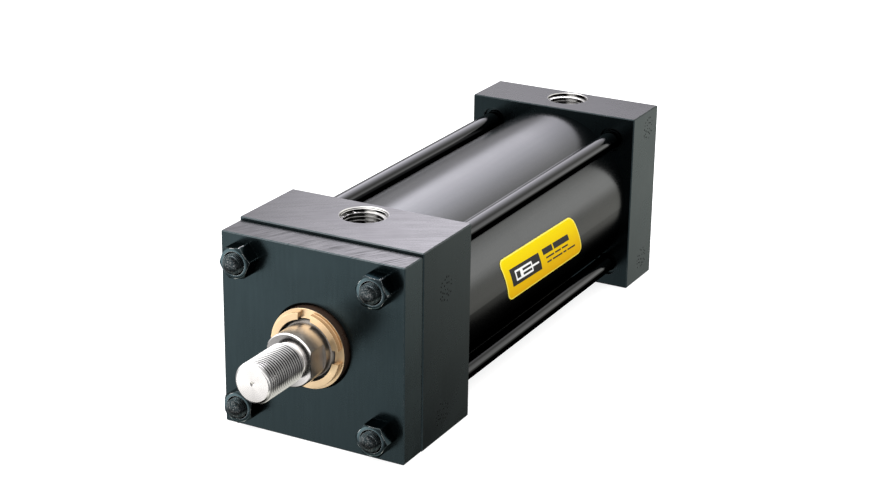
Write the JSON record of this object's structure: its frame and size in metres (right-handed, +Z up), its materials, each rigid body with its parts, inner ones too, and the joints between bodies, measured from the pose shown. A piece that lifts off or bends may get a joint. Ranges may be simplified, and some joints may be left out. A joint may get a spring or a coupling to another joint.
{
  "type": "pneumatic cylinder",
  "caption": "Square-head tie-rod pneumatic cylinder with a threaded chromed rod, a slotted bronze gland, a retainer plate and threaded ports on top of head and cap.",
  "frame": {"origin": "on the rod axis, in the front face of the retainer plate", "axes": "+Y along the rod axis from the rod end towards the rear cap, +Z up through the ports, +X across; the rod extends along -Y"},
  "size_m": [0.0952, 0.3347, 0.0952],
  "materials": {
    "block_steel": "satin machined steel with an oil-dark finish",
    "tube_steel": "satin drawn tube",
    "rod_stock_steel": "bright-drawn bar",
    "nut_steel": "satin",
    "gland_bronze": "fine-turned bronze",
    "rod_chrome": "ground and hard-chromed",
    "piston_iron": "turned",
    "seal_rubber": "matt",
    "band_plastic": "matt",
    "label_film": "gloss film"
  },
  "bodies": {
    "cylinder_body": {"retainer_plate": "block_steel", "rod_head": "block_steel", "rear_cap": "block_steel", "barrel_tube": "tube_steel", "tie_rods": "rod_stock_steel", "head_tie_rod_nuts": "nut_steel", "cap_tie_rod_nuts": "nut_steel", "rod_gland": "gland_bronze", "rod_wiper": "seal_rubber", "rod_lip_seal": "seal_rubber", "gland_o_ring": "seal_rubber", "head_tube_seal": "seal_rubber", "cap_tube_seal": "seal_rubber", "name_label": "label_film"},
    "piston_bands": {"piston_wear_band": "band_plastic", "front_piston_seal": "seal_rubber", "rear_piston_seal": "seal_rubber"},
    "rod_and_piston": {"piston_rod": "rod_chrome", "piston": "piston_iron", "piston_rod_o_ring": "seal_rubber", "piston_lock_nut": "nut_steel"}
  },
  "joints": [
    {"name": "rod_stroke", "type": "slide", "parent": "cylinder_body", "child": "piston_bands", "axis": [0, -1, 0], "range_m": [0, 0.1524]},
    {"name": "rod_turn", "type": "hinge", "parent": "piston_bands", "child": "rod_and_piston", "pos_m": [0, 0, 0], "axis": [0, 1, 0], "continuous": true}
  ]
}
